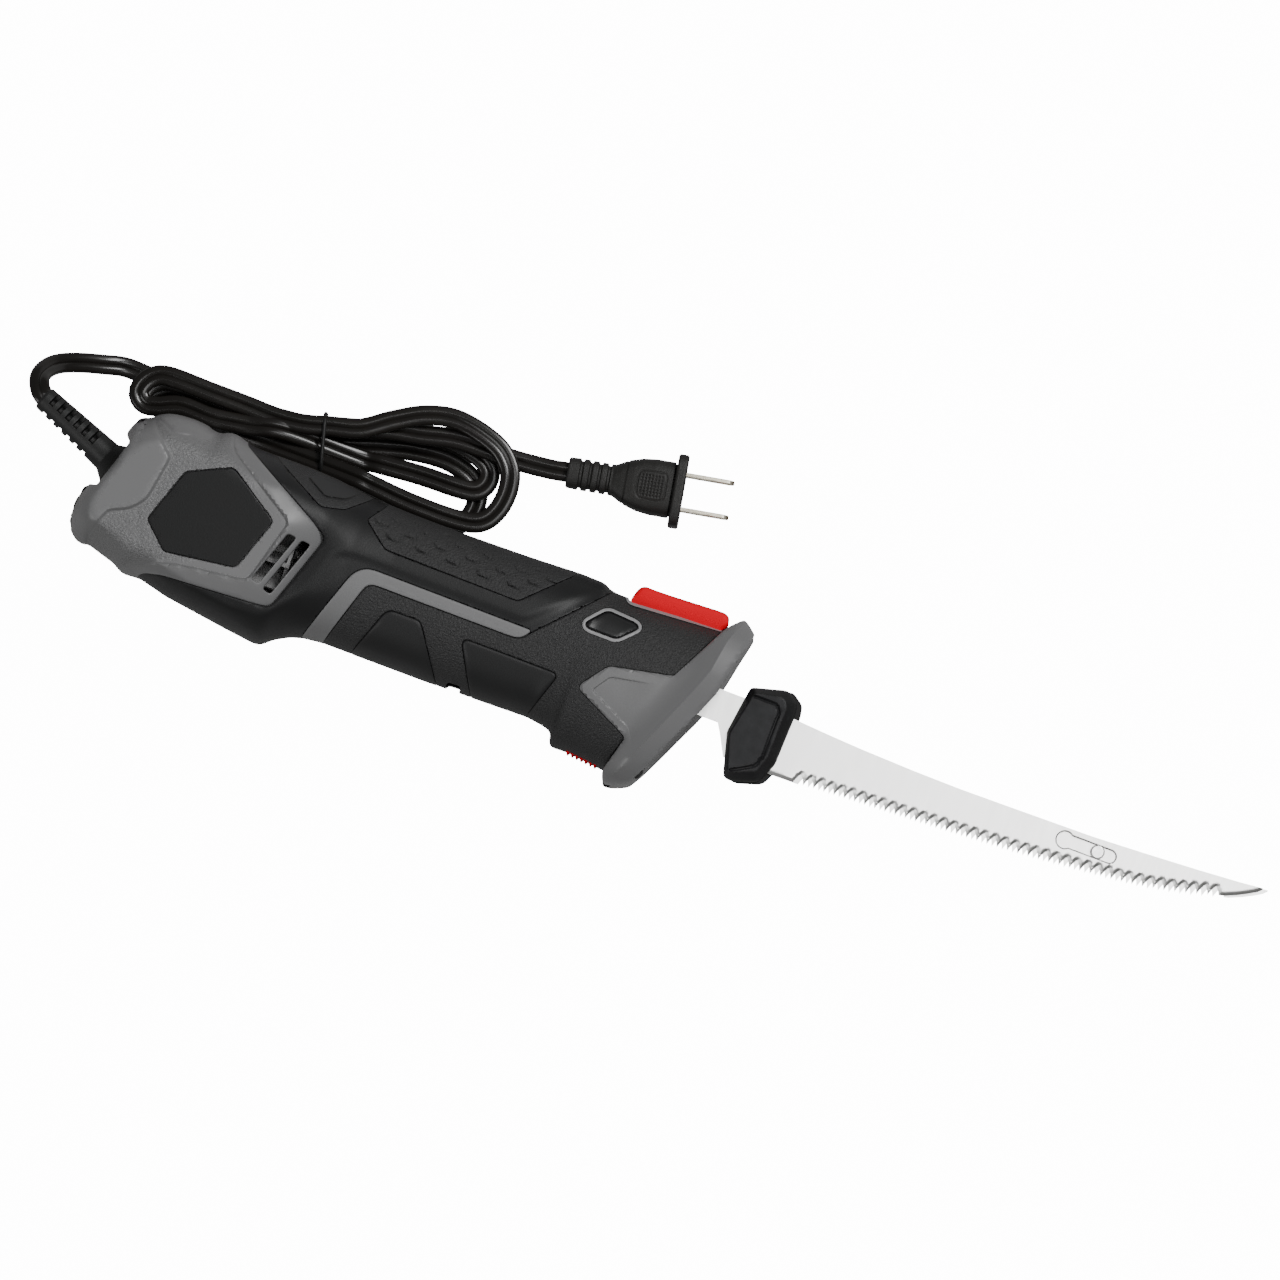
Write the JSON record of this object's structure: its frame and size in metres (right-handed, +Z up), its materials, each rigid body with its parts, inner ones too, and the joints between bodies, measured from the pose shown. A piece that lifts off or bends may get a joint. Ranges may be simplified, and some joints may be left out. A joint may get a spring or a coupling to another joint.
{
  "type": "electric fillet knife",
  "caption": "Corded electric fillet knife: moulded pistol-grip handle with flared guard, thumb switch, side lock and twin serrated blades that slide past each other",
  "frame": {"origin": "centre of the box of the knife without its cord, on the surface that it lies on", "axes": "+X from the handle to the blade tips, +Y from the cutting edge to the spine and the thumb switch, +Z up from the surface, square to the blades"},
  "size_m": [0.4873, 0.1215, 0.06],
  "materials": {
    "grey_plastic": "fine satin grain",
    "black_plastic": "satin",
    "soft_black": "textured soft overmould",
    "light_grey": "satin",
    "label_black": "satin",
    "red_plastic": "semi-gloss",
    "clip_plastic": "satin",
    "blade_steel": "ground and brushed",
    "plain_steel": "plated",
    "core_steel": "laminated sheet",
    "copper": "enamelled winding",
    "brass": "plain",
    "cast_alloy": "as cast",
    "white_nylon": "moulded",
    "brown_board": "moulded",
    "cord_black": "semi-gloss jacket"
  },
  "bodies": {
    "handle": {"accent_stripe": "light_grey", "brush_holder_lower": "brass", "brush_holder_upper": "brass", "cord_hank": "cord_black", "cord_lead": "cord_black", "cord_tail": "cord_black", "cord_tie": "label_black", "field_coil_far": "copper", "field_coil_near": "copper", "front_bearing": "brass", "front_finger_panel": "black_plastic", "front_plate": "black_plastic", "gear_frame": "cast_alloy", "grip_pad": "soft_black", "grip_shell_far": "black_plastic", "grip_shell_near": "black_plastic", "guard": "grey_plastic", "guard_bumper": "soft_black", "label_plate_far": "label_black", "label_plate_near": "label_black", "lock_bezel_far": "light_grey", "lock_bezel_near": "light_grey", "nose_bearing": "brass", "plug_body": "cord_black", "plug_prong_lower": "brass", "plug_prong_upper": "brass", "rear_bearing": "brass", "rear_finger_panel": "black_plastic", "rear_shell_far": "grey_plastic", "rear_shell_near": "grey_plastic", "screw_back": "plain_steel", "screw_belly": "plain_steel", "screw_grip": "plain_steel", "screw_rear": "plain_steel", "soft_grip": "soft_black", "stator_core": "core_steel", "strain_relief": "soft_black", "switch_block": "brown_board", "switch_trim": "light_grey", "top_insert": "soft_black", "wheel_axle": "plain_steel"},
    "near_blade": {"near_blade": "blade_steel", "near_clip": "clip_plastic", "near_carrier": "white_nylon"},
    "far_blade": {"far_blade": "blade_steel", "far_clip": "clip_plastic", "far_carrier": "white_nylon", "blade_rivet": "plain_steel"},
    "rotor": {"motor_shaft": "plain_steel", "armature_core": "core_steel", "commutator": "copper", "fan": "white_nylon"},
    "wheel": {"worm_wheel": "white_nylon"},
    "thumb_switch": {"thumb_switch": "red_plastic"},
    "lock_button": {"lock_button": "label_black"},
    "release_button": {"release_button": "red_plastic"}
  },
  "joints": [
    {"name": "near_blade_slide", "type": "slide", "parent": "handle", "child": "near_blade", "axis": [1, 0, 0], "range_m": [-0.0022, 0.0042]},
    {"name": "far_blade_slide", "type": "slide", "parent": "handle", "child": "far_blade", "axis": [1, 0, 0], "range_m": [-0.0042, 0.0022]},
    {"name": "motor_spin", "type": "hinge", "parent": "handle", "child": "rotor", "pos_m": [-0.1356, 0.00165, 0.03], "axis": [1, 0, 0], "continuous": true},
    {"name": "wheel_spin", "type": "hinge", "parent": "handle", "child": "wheel", "pos_m": [-0.0616, 0.01405, 0.03], "axis": [0, 0, 1], "continuous": true},
    {"name": "thumb_switch_press", "type": "slide", "parent": "handle", "child": "thumb_switch", "axis": [0, -1, 0], "range_m": [0, 0.002], "stiffness_N_per_m": 400},
    {"name": "lock_button_push", "type": "slide", "parent": "handle", "child": "lock_button", "axis": [0, 0, 1], "range_m": [-0.0015, 0.0015]},
    {"name": "release_button_press", "type": "slide", "parent": "handle", "child": "release_button", "axis": [0, 1, 0], "range_m": [0, 0.0025], "stiffness_N_per_m": 400}
  ],
  "couplings": [
    {"joint": "far_blade_slide", "follows": "near_blade_slide", "ratio": -1},
    {"joint": "wheel_spin", "follows": "motor_spin", "ratio": 0.041667}
  ]
}
